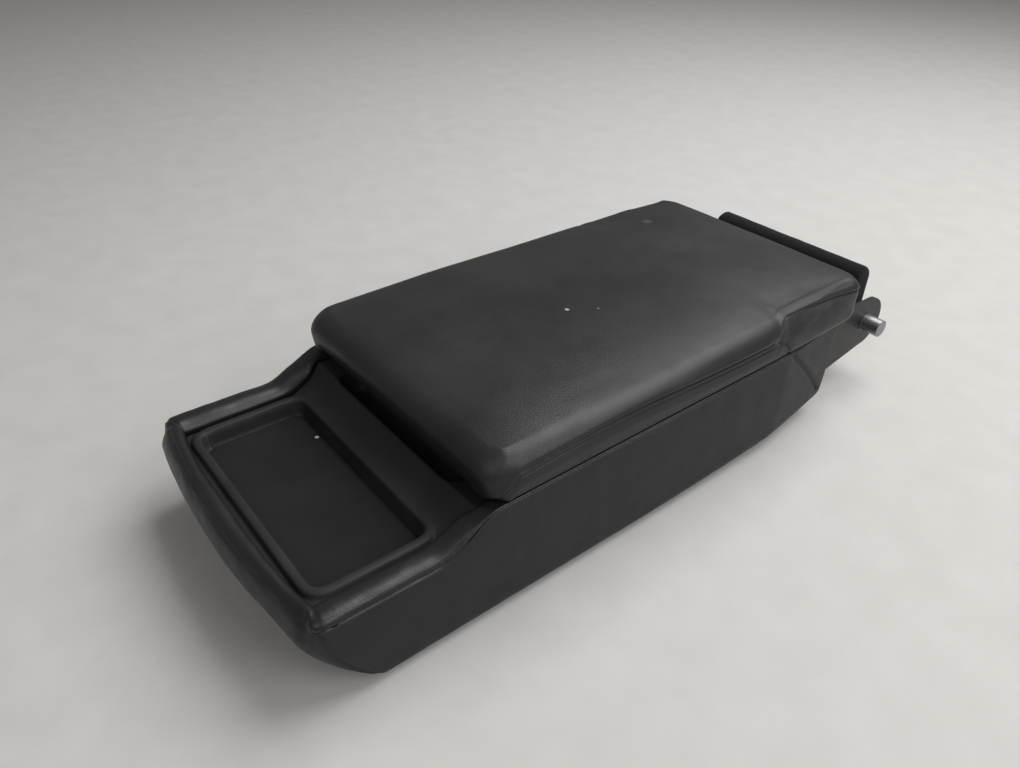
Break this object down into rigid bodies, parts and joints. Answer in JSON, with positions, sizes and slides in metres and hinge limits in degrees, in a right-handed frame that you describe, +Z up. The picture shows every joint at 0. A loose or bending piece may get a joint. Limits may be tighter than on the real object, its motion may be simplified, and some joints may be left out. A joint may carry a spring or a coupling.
{
  "type": "rear seat armrest",
  "caption": "Leather covered rear seat armrest with a tray and finger scoop at its front end and a padded lid that hinges up over a storage bin.",
  "frame": {"origin": "middle of the footprint of the armrest lying on its underside", "axes": "+X across the seat, +Y along the armrest from the tray end to the pivot end, +Z up"},
  "size_m": [0.24, 0.614, 0.134],
  "materials": {
    "leather": "satin, fine grain",
    "foam": "open cell foam",
    "moulding": "fine moulded texture",
    "board": "pressed board",
    "tray_plastic": "matt, fine moulded texture",
    "mat_rubber": "matt",
    "felt": "needle felt",
    "black_steel": "black coating",
    "bright_steel": "zinc plated"
  },
  "bodies": {
    "base": {"base_cover": "leather", "base_padding": "foam", "carrier": "moulding", "tray": "tray_plastic", "tray_mat": "mat_rubber", "storage_bin": "moulding", "bin_mat": "felt", "striker": "bright_steel", "hinge_bracket_left": "black_steel", "hinge_bracket_right": "black_steel", "hinge_pin_left": "bright_steel", "hinge_pin_right": "bright_steel", "pivot_bracket_left": "black_steel", "pivot_bracket_right": "black_steel", "pivot_shaft": "bright_steel", "felt_roll": "felt", "bracket_bolts": "bright_steel", "hinge_screws": "bright_steel", "bump_stops": "mat_rubber"},
    "lid": {"lid_cover": "leather", "lid_padding": "foam", "lid_board": "board", "lid_liner": "moulding", "lid_hinge_arm_left": "black_steel", "lid_hinge_arm_right": "black_steel", "arm_screws": "bright_steel", "paddle_pin": "bright_steel", "paddle_spring": "bright_steel"},
    "paddle": {"release_paddle": "tray_plastic"}
  },
  "joints": [
    {"name": "lid_hinge", "type": "hinge", "parent": "base", "child": "lid", "pos_m": [0, 0.234, 0.09], "axis": [-1, 0, 0], "range_deg": [0, 80]},
    {"name": "paddle_pull", "type": "hinge", "parent": "lid", "child": "paddle", "pos_m": [0, -0.137, 0.091], "axis": [-1, 0, 0], "range_deg": [0, 15], "stiffness_Nm_per_rad": 0.15}
  ]
}
